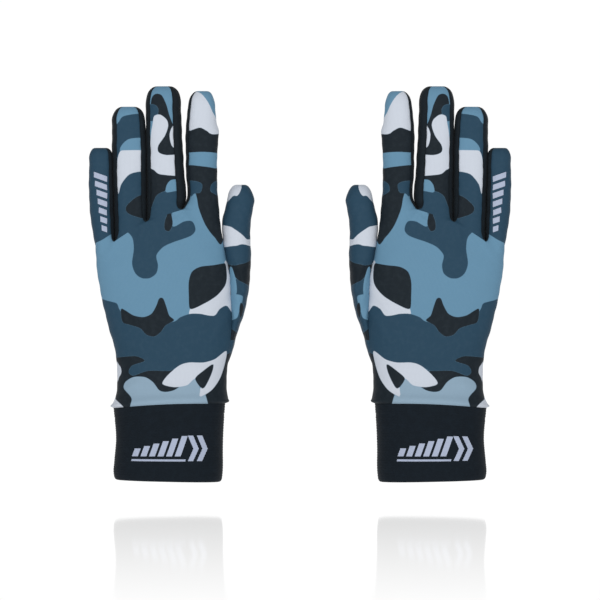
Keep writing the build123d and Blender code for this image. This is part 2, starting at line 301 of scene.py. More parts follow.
def wrist_tilt(u, height):
    """The wrist seam arches and runs up towards the thumb, and the cloth near it goes with it."""
    seam = (0.04 * u + 1.1 * (1 - (u / 30) ** 2)) * smooth((78 - height) / 28) * smooth((height - 18) / 26)
    hem = (0.7 - 0.021 * u) * smooth((20 - height) / 20)
    return seam + hem


def hand_section(angle, height, sink=0.0):
    edges = [edge(height) for edge in hand_outline]
    u, y = section(angle, edges, hand_fullness, sink)
    return np.stack([u, y, height + wrist_tilt(u, height)], axis=-1)


def angle_at(u, left, right, fullness):
    """The angle on the back of an oval section where it crosses u."""
    share = np.clip((u - (left + right) / 2) / ((right - left) / 2), -1, 1)
    return math.acos(math.copysign(abs(share) ** (fullness / 2), share))


def web_angle(u, height):
    return angle_at(u, hand_outline[0](height), hand_outline[1](height), hand_fullness)


# The webs between the fingers: place, height on the back of the hand and angle round the hand.
palm_web_rise = 4.0
web_dip = 1.2
web_round = 8.5
web_height = {"little_ring": 148.5, "ring_middle": 160.7, "middle_index": 168.3}
web_turn = {
    "little_ring": web_angle(-33, 148.5),
    "ring_middle": web_angle(-13.4, 160.7),
    "middle_index": web_angle(8.7, 168.3),
}
little_side = math.pi + side_seam_angle
thumb_side = -side_seam_angle
little_side_root, thumb_side_root = 146.0, 166.0
hand_fade = 22.0  # how far below its root a finger's own round shape can be seen in the hand
finger_middle = 175.0
leg_depth = 14.0


class Finger:
    """One finger of the glove: where it leaves the hand, its outline and how its print is cut."""

    def __init__(self, columns, webs, outline, cap, tip_width, print_edges, roundness=1.5, fullness=2.3):
        self.columns, self.outline, self.cap, self.tip_width = columns, outline, cap, tip_width
        self.fullness, self.roundness = fullness, roundness
        left_web, right_web = webs
        self.webs = webs
        self.left_turn = web_turn.get(left_web, little_side)
        self.right_turn = web_turn.get(right_web, thumb_side)
        self.left_root = web_height.get(left_web, little_side_root)
        self.right_root = web_height.get(right_web, thumb_side_root)
        self.left_edge = math.pi - math.acos(print_edges[0] ** (fullness / 2)) if left_web else little_side
        self.right_edge = math.acos(print_edges[1] ** (fullness / 2)) if right_web else thumb_side

    def across(self, q, palm):
        """Angles round the hand and round the finger for a share q of the way across a strip."""
        hand = (self.left_turn, self.right_turn)
        tube = (self.left_edge, self.right_edge)
        if palm:
            turn = 2 * math.pi
            right_way = -1 if self.webs[1] else 1
            hand, tube = (
                (turn - left if self.webs[0] else left, turn + right_way * right)
                for left, right in (hand, tube)
            )
        return mix(*hand, q), mix(*tube, q)

    def root(self, q, palm):
        """Height of the line where the finger leaves the hand."""
        rise = 0.0
        if palm:
            rise = palm_web_rise * mix(1.0 if self.webs[0] else 0.0, 1.0 if self.webs[1] else 0.0, q)
        return mix(self.left_root, self.right_root, q) + rise

    def early(self, q):
        """How far below the root the finger's own round shape begins."""
        near_left = (1 - q) ** 4 if self.webs[0] else 0.0
        near_right = q**4 if self.webs[1] else 0.0
        return hand_fade * (1 - np.maximum(near_left, near_right))

    def width(self):
        left, right = (edge(finger_middle) for edge in self.outline[:2])
        return right - left

    def tube(self, angle, height, sink=0.0):
        cap_start = self.top - self.cap
        turn = np.clip((height - cap_start) / self.cap, 0, 1) * math.pi / 2
        narrow = 1 - (1 - self.tip_width) * (1 - np.cos(turn)) ** self.roundness
        flat = np.maximum(0.03, np.cos(turn) ** 0.7)
        low = np.minimum(height, cap_start)
        left, right, front, back = (edge(low) for edge in self.outline)
        across, deep = (left + right) / 2, (front + back) / 2
        edges = (
            across + (left - across) * narrow, across + (right - across) * narrow,
            deep + (front - deep) * flat, deep + (back - deep) * flat,
        )
        u, y = section(angle, edges, self.fullness, sink * np.cos(turn))
        return np.stack([u, y, low + self.cap * np.sin(turn)], axis=-1)

    def strip(self, q, height, palm):
        """The back or palm side of hand and finger, in one sheet."""
        hand_angle, tube_angle = self.across(q, palm)
        root, early = self.root(q, palm), self.early(q)
        opened, grown = web_curve(height - root), smooth((height - root + early) / (early + 10))
        share = mix(opened, grown, early / hand_fade)[..., None]
        width = self.width()
        outside = np.minimum(1e3 if self.webs[0] else q * width, 1e3 if self.webs[1] else (1 - q) * width)
        inside = np.minimum(q, 1 - q) * width
        at_hand = hand_section(hand_angle, height, seam_sink(outside))
        return mix(at_hand, self.tube(tube_angle, height, seam_sink(inside)), share)

    def leg(self, side, j, height):
        """The plain strip down one side of the finger, j from the print to the palm."""
        turn = self.left_turn if side == "left" else self.right_turn
        edge = self.left_edge if side == "left" else self.right_edge
        far_side = 2 * math.pi if side == "left" else 0.0
        root = self.leg_root(side, j)
        share = web_curve(height - root)[..., None]
        at_hand = mix(hand_section(turn, height), hand_section(-turn, height), j[..., None])
        fold = 0.5 * np.sin(math.pi * j) ** 2 * np.cos(3 * math.pi * (j - 0.5)) ** 2
        sink = seam_sink(np.minimum(j, 1 - j) * leg_depth) - fold
        return mix(at_hand, self.tube(mix(edge, far_side - edge, j), height, sink), share)

    def leg_root(self, side, j):
        root = self.left_root if side == "left" else self.right_root
        return root + palm_web_rise * j - web_dip * np.sin(math.pi * j)


def web_curve(rise):
    """The round foot of the slot between two fingers: how far its sides have opened at a rise above it."""
    left_over = 1 - np.clip(rise / web_round, 0, 1)
    return np.sqrt(np.clip(1 - left_over**2.6, 0, 1))


def seam_sink(distance):
    """How far a seam pulls the cloth in."""
    return seam_depth * np.exp(-((distance / seam_width) ** 2))


fingers = {
    "little": Finger(
        26, (None, "little_ring"),
        (
            through((146, -45.3), (156, -47.3), (171, -49), (186, -49.4), (200, -49.2)),
            through((146, -33.1), (160, -33.6), (175, -34.1), (200, -34.8)),
            through((146, -9.4), (165, -8.8), (200, -7)),
            through((146, 9.2), (165, 8.6), (200, 6.6)),
        ),
        8, 0.46, (1, 0.76), 1.2,
    ),
    "ring": Finger(
        28, ("little_ring", "ring_middle"),
        (
            through((148, -33.1), (165, -33.5), (185, -34.2), (205, -34.6), (222, -34.6)),
            through((160, -13.3), (180, -13.7), (200, -13.9), (215, -14.3), (222, -15)),
            through((148, -10.4), (165, -9.4), (222, -7.2)),
            through((148, 10), (165, 9), (222, 6.8)),
        ),
        9.5, 0.38, (0.76, 0.74), 1.1,
    ),
    "middle": Finger(
        30, ("ring_middle", "middle_index"),
        (
            through((160, -13.3), (180, -13.1), (200, -13.3), (215, -13.6), (235, -13.6)),
            through((168, 8.7), (173, 10.3), (178, 10.6), (186, 9.8), (205, 8.5), (220, 7.7), (235, 7.2)),
            through((160, -10), (176, -9.4), (235, -7.4)),
            through((160, 9.8), (176, 9), (235, 7)),
        ),
        10, 0.38, (0.8, 0.58), 1.05,
    ),
    "index": Finger(
        32, ("middle_index", None),
        (
            through((168, 8.7), (173, 11.2), (178, 12.2), (186, 11.6), (205, 11.1), (220, 11.2), (232, 12.6)),
            through((160, 32.2), (166, 31.7), (178, 30.6), (196, 30.2), (210, 30.7), (218, 31.2), (222, 30),
                    (232, 29)),
            through((160, -10), (176, -9.2), (232, -7.2)),
            through((160, 9.8), (176, 9), (232, 6.8)),
        ),
        10.5, 0.36, (0.87, 1), 1.0,
    ),
}
for name, finger in fingers.items():
    finger.top = max(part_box(f"left_{name}_finger_{part}")[1][2] for part in ("back", "palm")) / mm

# Soft folds of the worn-in cloth on the back of the hand: foot, head, how wide and how high.
hand_folds = (
    ((-24, 66), (18, 61), 3.2, -0.5), ((-20, 72), (22, 70), 4.0, 0.5), ((2, 160), (10, 165), 1.6, 0.6),
    ((2, 166), (9, 162), 1.4, -0.5), ((-18, 152), (-13, 160), 2.0, 0.5), ((-38, 140), (-33, 147), 2.4, 0.5),
    ((-22, 148), (-15, 157), 2.2, -0.4), ((14, 160), (10, 166), 1.8, 0.4), ((30, 92), (38, 104), 3.0, 0.6),
    ((27, 100), (38, 112), 3.0, -0.5), ((40, 134), (45, 119), 1.6, -0.9), ((45, 130), (49, 118), 1.8, 0.6),
    ((39, 116), (43, 104), 1.8, -0.6), ((24, 54), (36, 60), 3.0, 0.6), ((-34, 55), (-20, 60), 3.0, 0.5),
)
palm_folds = (
    ((-36, 118), (8, 104), 3.4, -0.9), ((34, 96), (4, 70), 3.6, -0.9), ((-30, 138), (24, 146), 3.0, -0.7),
    ((-30, 62), (26, 60), 3.0, 0.6), ((-44, 150), (30, 160), 3.0, 0.5), ((-20, 80), (-30, 110), 4.0, 0.5),
)


def settle(points):
    """Lets the cloth fold and waver a little, the same way wherever two pieces meet."""
    u, y, z = points[..., 0], points[..., 1], points[..., 2]
    moved = points.copy()
    for folds, towards in ((hand_folds, -1), (palm_folds, 1)):
        facing = smooth(towards * y / 8)
        for foot, head, width, height in folds:
            run = np.subtract(head, foot)
            along = np.clip(((u - foot[0]) * run[0] + (z - foot[1]) * run[1]) / (run @ run), 0, 1)
            away = np.hypot(u - foot[0] - along * run[0], z - foot[1] - along * run[1])
            moved[..., 1] += towards * facing * height * np.exp(-((away / width) ** 2))
    high = smooth((z - 52) / 12)
    moved[..., 0] += high * 0.16 * np.sin(z * 0.55 + 0.9 * np.sin(u * 0.11)) * np.sin(z * 0.21 + u * 0.05)
    moved[..., 1] += high * 0.18 * np.sin(z * 0.33 + u * 0.12) * np.sin(u * 0.27 - z * 0.08)
    return moved


class Patch:
    """A sheet of cloth as a grid of points, rows going up and columns going round the glove to the right."""

    def __init__(self, points, seam=None, closed=False):
        self.points, self.closed = points, closed
        rows, columns = points.shape[:2]
        across = np.gradient(points, axis=1)
        if closed:
            across = (np.roll(points, -1, axis=1) - np.roll(points, 1, axis=1)) / 2
        self.normals = np.cross(across, np.gradient(points, axis=0))
        self.normals /= np.maximum(np.linalg.norm(self.normals, axis=-1, keepdims=True), 1e-9)
        round_steps = np.linalg.norm(np.diff(points, axis=1, prepend=points[:, :1]), axis=-1)
        round_way = np.cumsum(round_steps, axis=1)
        round_way -= round_way[:, columns // 2 : columns // 2 + 1]
        up_steps = np.linalg.norm(np.diff(points, axis=0, prepend=points[:1]), axis=-1)
        up_way = points[:1, :, 2] + np.cumsum(up_steps, axis=0)
        self.cloth = np.stack([round_way, up_way, np.zeros_like(up_way)], axis=-1)
        self.seam = np.full(points.shape[:2], 99.0) if seam is None else seam


pressed = {"left": [], "right": []}
outer_share, inner_share = 0.8, 0.97


def grid_faces(rows, columns, closed):
    """Corner numbers of a grid's faces, with the row and column of each corner."""
    steps = columns if closed else columns - 1
    r, k = (side.ravel() for side in np.mgrid[0 : rows - 1, 0:steps])
    corner_rows = np.stack([r, r, r + 1, r + 1], axis=1)
    corner_columns = np.stack([k, k + 1, k + 1, k], axis=1)
    return corner_rows * columns + corner_columns % columns, corner_rows, corner_columns, steps


def shell(name, side, patches, material, thickness=knit_thickness, paint=None):
    """Makes a closed piece of cloth of real thickness from its outer sheets."""
    places, faces, maps, rest, cloth, seam = [], [], [], [], [], []
    outer_numbers, outer_normals, base = [], [], 0
    for number, patch in enumerate(patches):
        rows, columns = patch.points.shape[:2]
        count = rows * columns
        outer = patch.points.reshape(-1, 3)
        normals = patch.normals.reshape(-1, 3)
        places += [outer, outer - normals * thickness]
        outer_numbers.append(np.arange(base, base + count))
        outer_normals.append(normals)
        corners, corner_rows, corner_columns, steps = grid_faces(rows, columns, patch.closed)
        across = (corner_columns / steps * 0.98 + 0.01 + number) / len(patches)
        up = corner_rows / (rows - 1)
        faces += [base + corners, base + count + corners[:, ::-1]]
        maps.append(np.stack([across, up * outer_share], axis=-1))
        inner_up = mix(outer_share + 0.01, inner_share - 0.01, up)
        maps.append(np.stack([across, inner_up], axis=-1)[:, ::-1])
        ring = [(np.arange(steps), np.arange(1, steps + 1) % columns)]
        ring.append(tuple(edge + (rows - 1) * columns for edge in ring[0][::-1]))
        if not patch.closed:
            climb = np.arange(rows - 1) * columns
            ring += [(climb + columns, climb), (climb + columns - 1, climb + 2 * columns - 1)]
        for first, second in ring:
            rim = np.stack([first, first + count, second + count, second], axis=1) + base
            run = (np.arange(len(rim))[:, None] + np.array([0, 0, 1, 1])) / len(rim)
            band = inner_share + np.array([0.005, 0.02, 0.02, 0.005])
            faces.append(rim)
            maps.append(np.stack([(run * 0.98 + 0.01 + number) / len(patches), band + 0 * run], axis=-1))
        rest += [outer, outer]
        cloth += [patch.cloth.reshape(-1, 3)] * 2
        seam += [patch.seam.ravel()] * 2
        base += 2 * count
    places, faces, maps = np.concatenate(places), np.concatenate(faces), np.concatenate(maps)
    rest = np.concatenate(rest)
    if side == "right":
        faces, maps = faces[:, ::-1], maps[:, ::-1]
    mesh = bpy.data.meshes.new(name)
    mesh.vertices.add(len(places))
    mesh.loops.add(faces.size)
    mesh.polygons.add(len(faces))
    shown = (places + (glove_middle, 0, 0)) * (glove_sides[side], 1, 1) * mm
    mesh.vertices.foreach_set("co", shown.ravel().astype(np.float32))
    mesh.loops.foreach_set("vertex_index", faces.ravel().astype(np.int32))
    mesh.polygons.foreach_set("loop_start", np.arange(0, faces.size, 4, dtype=np.int32))
    mesh.polygons.foreach_set("use_smooth", np.ones(len(faces), bool))
    mesh.update(calc_edges=True)
    layer = mesh.uv_layers.new(name="OFBake")
    layer.data.foreach_set("uv", maps.ravel().astype(np.float32))
    values = {"rest": rest, "cloth": np.concatenate(cloth), "seam": np.concatenate(seam)}
    if paint is not None:
        values.update(paint(rest))
    for label, value in values.items():
        kind = "FLOAT_VECTOR" if value.ndim == 2 else "FLOAT"
        stored = mesh.attributes.new(label, kind, "POINT")
        stored.data.foreach_set("vector" if value.ndim == 2 else "value", value.ravel().astype(np.float32))
    mesh.materials.append(material)
    piece = bpy.data.objects.new(name, mesh)
    bpy.context.scene.collection.objects.link(piece)
    pressed[side].append((piece, np.concatenate(outer_numbers), np.concatenate(outer_normals)))
    return piece


def both_gloves(name, patches, material, slot, body="hand", bend=None, **details):
    """Makes a piece for each hand, in place of the plain one; a piece without a bend is tied to the body it
    moves with, one with a bend is only fixed where it stands.
    """
    for side in glove_sides:
        piece = shell(f"{side}_{name}_cloth", side, patches, material, **details)
        if bend is None:
            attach(piece, f"{side}_{body}")
        else:
            start, end = ((glove_sides[side] * glove_middle * mm, 0, height * mm) for height in bend)
            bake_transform(piece)
        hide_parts(f"{side}_{name}")


# The camouflage, drawn one by one: each shape is laid over those before it, corners in (u, z).
camouflage = {
    "hand": (
        ("black", ((-46, 84), (0, 86), (46, 84), (46, 40), (0, 38), (-46, 40))),
        ("white", ((38, 137), (30, 126), (18, 113), (14, 108), (14, 98), (30, 96), (50, 96), (54, 110),
                   (46, 128))),
        ("teal", ((-50, 111), (-33, 111), (-30, 107), (-26, 102), (-14, 98), (3, 99), (8, 102), (14, 104),
                  (20, 104), (25, 103), (29, 103), (32, 107), (36, 109), (40, 106), (50, 98), (46, 82),
                  (36, 79), (26, 73), (14, 72), (6, 71), (1, 69), (-12, 69), (-21, 66), (-24, 68), (-22, 72),
                  (-14, 75), (-20, 78), (-36, 77), (-50, 80))),
        ("black", ((-29, 107), (-26, 106), (-21, 103), (-15, 102), (-10, 104), (-7, 109), (-5.5, 113),
                   (-4, 114), (-2.5, 113), (-1, 109), (1, 103), (4, 100), (-1, 97), (-4, 93), (-8, 90),
                   (-13, 91), (-17, 95), (-23, 97), (-28, 99))),
        ("black", ((37, 135), (28, 134), (20, 133), (15, 130), (13, 124), (13, 115), (14, 107), (22, 110),
                   (30, 115), (35, 121), (37, 128))),
        ("pale", ((-27, 58), (-26, 62), (-21, 65), (-14, 65), (-9, 62), (-5, 57), (-1, 56), (4, 57), (9, 60),
                  (18, 65), (22, 58), (25, 48), (24, 42), (-20, 42), (-22, 52))),
        ("white", ((-3, 61), (0, 66), (7, 72), (13, 74), (22, 74), (29, 76), (36, 81), (35, 73), (32, 64),
                   (27, 57), (20, 53), (20, 58), (17, 64), (12, 60), (4, 59))),
        ("black", ((28, 73), (27, 67), (22, 58), (17, 64), (22, 69))),
        ("white", ((-36, 74), (-30, 72), (-29, 67), (-34, 62))),
        ("white", ((-40, 53), (-34, 52), (-27, 46), (-36, 44))),
        ("teal", ((-60, 150), (-45, 148), (-37, 153), (-31, 155), (-26, 155), (-22, 151), (-21, 144),
                  (-22, 135), (-20, 129), (-16, 126), (-11, 126), (-7, 129), (-6, 134), (-7, 140), (-3, 145),
                  (3, 148), (14, 152), (17, 156), (15, 161), (10, 161), (3, 158), (3, 170), (6, 190),
                  (-30, 196), (-60, 180))),
        ("black", ((-2, 156), (-2, 161), (1, 168), (3, 160), (1, 155))),
        ("black", ((10, 186), (17, 178), (19, 169), (23, 159), (28, 152), (35, 147), (46, 160), (40, 190))),
    ),
    "little": (("teal", ((-60, 150), (-45, 148), (-34, 154), (-26, 160), (-26, 216), (-60, 216))),),
    "ring": (
        ("teal", ((-44, 158), (-6, 154), (-6, 245), (-44, 245))),
        ("sky", ((-42, 219), (-32, 222), (-28, 226), (-18, 228), (-6, 229), (-6, 244), (-42, 244))),
        ("sky", ((-30, 205), (-28, 209), (-24, 212), (-16, 213), (-6, 214), (-6, 202), (-26, 202))),
        ("white", ((-6, 204), (-26, 205), (-30, 204), (-32, 199), (-34, 188), (-31, 178), (-29, 184),
                   (-24, 190), (-17, 192), (-6, 193))),
        ("black", ((-6, 178), (-18, 177), (-26, 170), (-23, 165), (-6, 162))),
    ),
    "middle": (
        ("black", ((-16, 199), (-8, 197), (0, 194), (14, 194), (14, 178), (0, 180), (-7, 176), (-11, 168),
                   (-16, 164))),
        ("teal", ((-18, 170), (-11, 169), (-7, 177), (0, 180), (14, 180), (14, 158), (2, 160), (-18, 160))),
        ("black", ((-11, 238), (-8, 240), (-4, 239), (-1, 233), (1, 226), (4, 220), (12, 217), (12, 200),
                   (-5, 202), (-9, 206), (-5, 212), (-4, 220), (-7, 225), (-10, 227), (-12, 232))),
        ("teal", ((-14, 233), (-8, 233), (-6, 230), (-7, 226), (-10, 223), (-16, 225))),
        ("white", ((-9, 226), (-5, 227), (-1, 224), (0, 220), (-2, 214), (-6, 208), (-6, 204), (-1, 202),
                   (14, 202), (14, 190), (-4, 190), (-9, 193), (-16, 197), (-12, 212), (-10, 221))),
        ("white", ((4, 221), (1, 215), (3, 207), (12, 206), (12, 222))),
        ("sky", ((14, 187), (4, 187), (1, 186), (-1, 183), (-1, 179), (6, 180), (14, 180))),
    ),
    "index": (
        ("white", ((4, 256), (20, 256), (21, 243), (29, 229), (38, 222), (38, 212), (4, 212))),
        ("black", ((4, 213), (12, 215), (16, 218), (20, 219), (24, 217), (28, 215), (46, 215), (46, 204),
                   (21, 204), (4, 204))),
        ("black", ((0, 197), (13, 196), (30, 194), (46, 192), (46, 160), (35, 147), (28, 152), (23, 159),
                   (19, 169), (17, 178), (10, 186))),
        ("teal", ((4, 186), (16, 186), (21, 184), (20, 179), (16, 178), (10, 172), (4, 174))),
        ("teal", ((40, 186), (28, 185), (27, 179), (40, 177))),
    ),
    "thumb": (
        ("teal", ((20, 60), (66, 60), (66, 196), (20, 196))),
        ("white", ((28, 174), (38, 177), (42, 177), (45, 180), (47, 185), (47, 194), (28, 194))),
        ("white", ((24, 158), (36, 158), (41, 156), (46, 153), (51, 150), (58, 150), (58, 146), (46, 147),
                   (41, 146), (24, 146))),
        ("black", ((24, 136), (40, 134), (46, 135), (62, 137), (62, 122), (50, 122), (43, 125), (38, 130))),
        ("sky", ((36, 132), (39, 132), (42, 124), (42, 116), (36, 118))),
        ("sky", ((34, 115), (46, 115), (44, 106), (42, 101), (34, 101))),
        ("black", ((45, 111), (48, 107), (45, 101), (44, 106))),
        ("black", ((36, 95), (41, 93), (40, 88), (36, 88))),
    ),
}
dyes = ("teal", "black", "white", "pale")
thumb_line = 44.0  # the middle of the thumb
side_start = -7.0  # y where the cloth turns away round the side, so that the print carries on round it
side_share = 0.9


def rounded_outline(corners, steps=8):
    """A closed smooth curve through the corners of a shape."""
    corners = np.array(corners, float)
    before, after = np.roll(corners, 1, axis=0), np.roll(corners, -1, axis=0)
    leaving = (after - before) * 0.42
    t = (np.arange(steps) / steps)[None, :, None]
    start, end = corners[:, None], after[:, None]
    left, met = leaving[:, None], np.roll(leaving, -1, axis=0)[:, None]
    curve = (2 * t**3 - 3 * t**2 + 1) * start + (t**3 - 2 * t**2 + t) * left
    curve += (3 * t**2 - 2 * t**3) * end + (t**3 - t**2) * met
    return curve.reshape(-1, 2)


def depth_inside(spots, outline):
    """Distance of each spot to an outline, positive inside it."""
    nearest, inside = np.full(len(spots), 1e9), np.zeros(len(spots), bool)
    for start, end in zip(outline, np.roll(outline, -1, axis=0)):
        run = end - start
        along = np.clip((spots - start) @ run / max(run @ run, 1e-9), 0, 1)
        nearest = np.minimum(nearest, np.linalg.norm(spots - start - along[:, None] * run, axis=1))
        if start[1] != end[1]:
            crosses = (start[1] > spots[:, 1]) != (end[1] > spots[:, 1])
            where = start[0] + (spots[:, 1] - start[1]) / run[1] * run[0]
            inside ^= crosses & (spots[:, 0] < where)
    return np.where(inside, nearest, -nearest)


def camouflaged(*areas):
    """The dyes at each point of a piece, each as its depth inside the dyed area."""

    def paint(rest):
        spots = rest[:, (0, 2)].copy()
        outward = np.clip((spots[:, 0] - (thumb_line if areas == ("thumb",) else 0.0)) / 6, -1, 1)
        spots[:, 0] += outward * np.maximum(rest[:, 1] - side_start, 0) * side_share
        depth = {dye: np.full(len(spots), -9.0) for dye in dyes}
        for area in areas:
            for colour, corners in camouflage[area]:
                shape = depth_inside(spots, rounded_outline(corners))
                for dye in dyes:
                    if dye == colour:
                        depth[dye] = np.maximum(depth[dye], shape)
                    else:
                        depth[dye] = np.minimum(depth[dye], -shape)
        return depth

    return paint


def knit_bump(shader, pitch, height):
    """Fine upright ribs of loops, with the slight unevenness of a knit, as a normal."""
    cloth = shader.stored("cloth", 1)
    round_way, up_way = cloth.axis("X"), cloth.axis("Y")
    turn = 2 * math.pi / pitch
    rows = (up_way * turn * 1.25).wave()
    ribs = (round_way * turn + rows * 0.9).wave()
    rest = shader.stored("rest", 1)
    uneven, fuzz = rest.noise(0.35, 3.0), rest.noise(2.2, 2.0)
    raised = ribs * rows * height + uneven * 0.2 + fuzz * height * 0.8
    return raised.bump(0.6), uneven, fuzz, ribs


def printed_knit():
    made, shader = new_material("camouflage_knit")
    normal, uneven, fuzz, ribs = knit_bump(shader, 0.8, 0.06)
    colours = {"teal": (40, 69, 89), "black": (25, 34, 41), "white": (203, 210, 221), "pale": (143, 168, 187)}
    edge = 0.35
    colour = shader.dyed(101, 142, 169)
    for dye in dyes:
        mask = ((shader.stored(dye, 2) + (fuzz - 0.5) * 0.25) / edge + 0.5).clamped()
        colour = colour.painted(tint(*colours[dye]), mask)
    colour = colour.painted(tint(170, 190, 205), ((uneven - 0.45) * 0.04).clamped())
    # painted shade: the print is darkened in the troughs between the knit's ribs
    colour = colour.painted(tint(12, 16, 22), (1 - ribs) * 0.08)
    # painted shade in the seam grooves: the print is darkened within half a millimetre of a seam
    colour = colour.painted(tint(18, 22, 28), (1 - shader.stored("seam", 2) / 0.5).clamped() * 0.75)
    finish_dull(shader, colour, 0.62 + (fuzz - 0.5) * 0.25, normal,
                Sheen_Weight=0.03, Sheen_Roughness=0.4, Specular_IOR_Level=0.12)
    return made


def edge_distance(q, width, left=True, right=True):
    """Distance to the seams at the two sides of a strip."""
    return np.minimum(q * width if left else 99.0 + 0 * q, (1 - q) * width if right else 99.0 + 0 * q)


hand_rows = 150
hand_foot = 47.4


def hand_patch(palm):
    """The hand part of a panel, from the wrist seam to the foot of the fingers."""
    sheets, seams = [], []
    for name, finger in fingers.items():
        q = np.linspace(0, 1, finger.columns + 1)
        if name != "index":
            q = q[:-1]
        rise = np.linspace(0, 1, hand_rows)[:, None] ** 0.96
        q = np.broadcast_to(q, (hand_rows, len(q)))
        height = mix(hand_foot, finger.root(q, palm), rise)
        sheets.append(finger.strip(q, height, palm))
        seams.append(edge_distance(q, finger.width(), left=name == "little", right=name == "index"))
    points, seam = settle(np.concatenate(sheets, axis=1)), np.concatenate(seams, axis=1)
    return Patch(points[:, ::-1], seam[:, ::-1]) if palm else Patch(points, seam)


camouflage_knit = printed_knit()
both_gloves("back_panel", [hand_patch(palm=False)], camouflage_knit, "printed_knit",
            paint=camouflaged("hand"))

# ---------------------------------------------------------------------------------------------------------
# Palm panel. The same knit, plain and near black, cut in one with the palm sides of the fingers. It is
# overlocked to the back panel inside the glove, so only a thin groove shows down the sides.


def plain_knit(name, dye, pitch, height, roughness, rib_shade=0.12):
    """A plain dyed knit: name, dye, width and depth of a rib, how dull it is and the painted shade between
    ribs.
    """
    made, shader = new_material(name)
    normal, uneven, fuzz, ribs = knit_bump(shader, pitch, height)
    lighter = tint(*(v * 1.5 + 8 for v in dye))
    colour = shader.dyed(*dye).painted(lighter, ((uneven - 0.4) * 0.5 + (fuzz - 0.5) * 0.4).clamped())
    # painted shade: darker in the troughs between the ribs, by rib_shade
    colour = colour.painted(tint(8, 10, 13), (1 - ribs) * rib_shade)
    # painted shade in the seam grooves: darker within half a millimetre of a seam
    colour = colour.painted(tint(6, 8, 10), (1 - shader.stored("seam", 2) / 0.5).clamped() * 0.7)
    finish_dull(shader, colour, roughness + (fuzz - 0.5) * 0.2, normal,
                Sheen_Weight=0.03, Sheen_Roughness=0.5, Specular_IOR_Level=0.12)
    return made


side_knit = plain_knit("black_knit", (22, 30, 36), 0.8, 0.06, 0.7)
both_gloves("palm_panel", [hand_patch(palm=True)], side_knit, "plain_knit")

# ---------------------------------------------------------------------------------------------------------
# Webs. Where two fingers part, the plain side strips of both are joined in a V that opens upwards. They
# stay with the hand.

finger_rows, tip_rows = 104, 24
leg_columns = 10
web_reach = 7.0


def finger_heights(finger, root):
    """Heights of a strip's rows, closer together over the rounded tip."""
    body = finger.top - finger.cap - root
    straight = root + body * np.linspace(0, 1, finger_rows - tip_rows)[:, None]
    tip = finger.top - finger.cap + finger.cap * np.linspace(0, 1, tip_rows + 1)[1:, None]
    return np.concatenate([straight, np.broadcast_to(tip, (tip_rows, straight.shape[1]))])


def leg_grid(finger, side):
    j = np.linspace(0, 1, leg_columns + 1)
    height = finger_heights(finger, finger.leg_root(side, j))
    j = np.broadcast_to(j, height.shape)
    points = settle(finger.leg(side, j, height))
    return points, np.minimum(j, 1 - j) * leg_depth


def web_row(finger, side):
    root = finger.left_root if side == "left" else finger.right_root
    return int(round(web_reach / (finger.top - finger.cap - root) * (finger_rows - tip_rows - 1)))


for web, (lower, upper) in {
    "little_ring": ("little", "ring"), "ring_middle": ("ring", "middle"), "middle_index": ("middle", "index"),
}.items():
    rising, rising_seam = leg_grid(fingers[upper], "left")
    falling, falling_seam = leg_grid(fingers[lower], "right")
    low, high = web_row(fingers[lower], "right"), web_row(fingers[upper], "left")
    points = np.concatenate([falling[low::-1], rising[1 : high + 1]])
    seam = np.concatenate([falling_seam[low::-1], rising_seam[1 : high + 1]])
    both_gloves(f"{web}_web", [Patch(points[:, ::-1], seam[:, ::-1])], side_knit, "plain_knit")

# ---------------------------------------------------------------------------------------------------------
# Fingers. Each is a printed back that runs on from the back panel, a plain palm side, and one or two plain
# side strips let in between them, all stitched along the print's edges and closed flat over the fingertip.

knuckle_bend = {"little": (155.5, 170), "ring": (167.8, 183), "middle": (175.5, 191), "index": (175.5, 191)}


def finger_strip(finger, palm, low_row=0, high_row=None):
    q = np.linspace(0, 1, finger.columns + 1)
    height = finger_heights(finger, finger.root(q, palm))
    q = np.broadcast_to(q, height.shape)
    points = settle(finger.strip(q, height, palm))
    rows = slice(low_row, high_row)
    points, seam = points[rows], edge_distance(q, finger.width())[rows]
    return Patch(points[:, ::-1], seam[:, ::-1]) if palm else Patch(points, seam)


touch_row = finger_rows - 42
for name, finger in fingers.items():
    bend = knuckle_bend[name]
    both_gloves(f"{name}_finger_back", [finger_strip(finger, palm=False)], camouflage_knit, "printed_knit",
                body=name, bend=bend, paint=camouflaged("hand", name))
    palm_end = touch_row + 1 if name == "index" else None
    both_gloves(f"{name}_finger_palm", [finger_strip(finger, palm=True, high_row=palm_end)], side_knit,
                "plain_knit", body=name, bend=bend)
    legs = []
    for side, web in zip(("left", "right"), finger.webs):
        if web:
            points, seam = leg_grid(finger, side)
            row = web_row(finger, side)
            if side == "left":
                points, seam = points[:, ::-1], seam[:, ::-1]
            legs.append(Patch(points[row:], seam[row:]))
    both_gloves(f"{name}_finger_sides", legs, side_knit, "plain_knit", body=name, bend=bend)

touch_knit = plain_knit("touch_knit", (38, 43, 50), 1.0, 0.08, 0.6)
both_gloves("index_touch_tip", [finger_strip(fingers["index"], palm=True, low_row=touch_row)], touch_knit,
            "touch_knit", body="index", bend=knuckle_bend["index"])

# ---------------------------------------------------------------------------------------------------------
# Thumb. A printed piece set into the side of the hand along the index-finger seam. Its root, the gusset,
# swells out of the wrist; above the thumb's knuckle it is a tube of a printed back and a plain palm side.

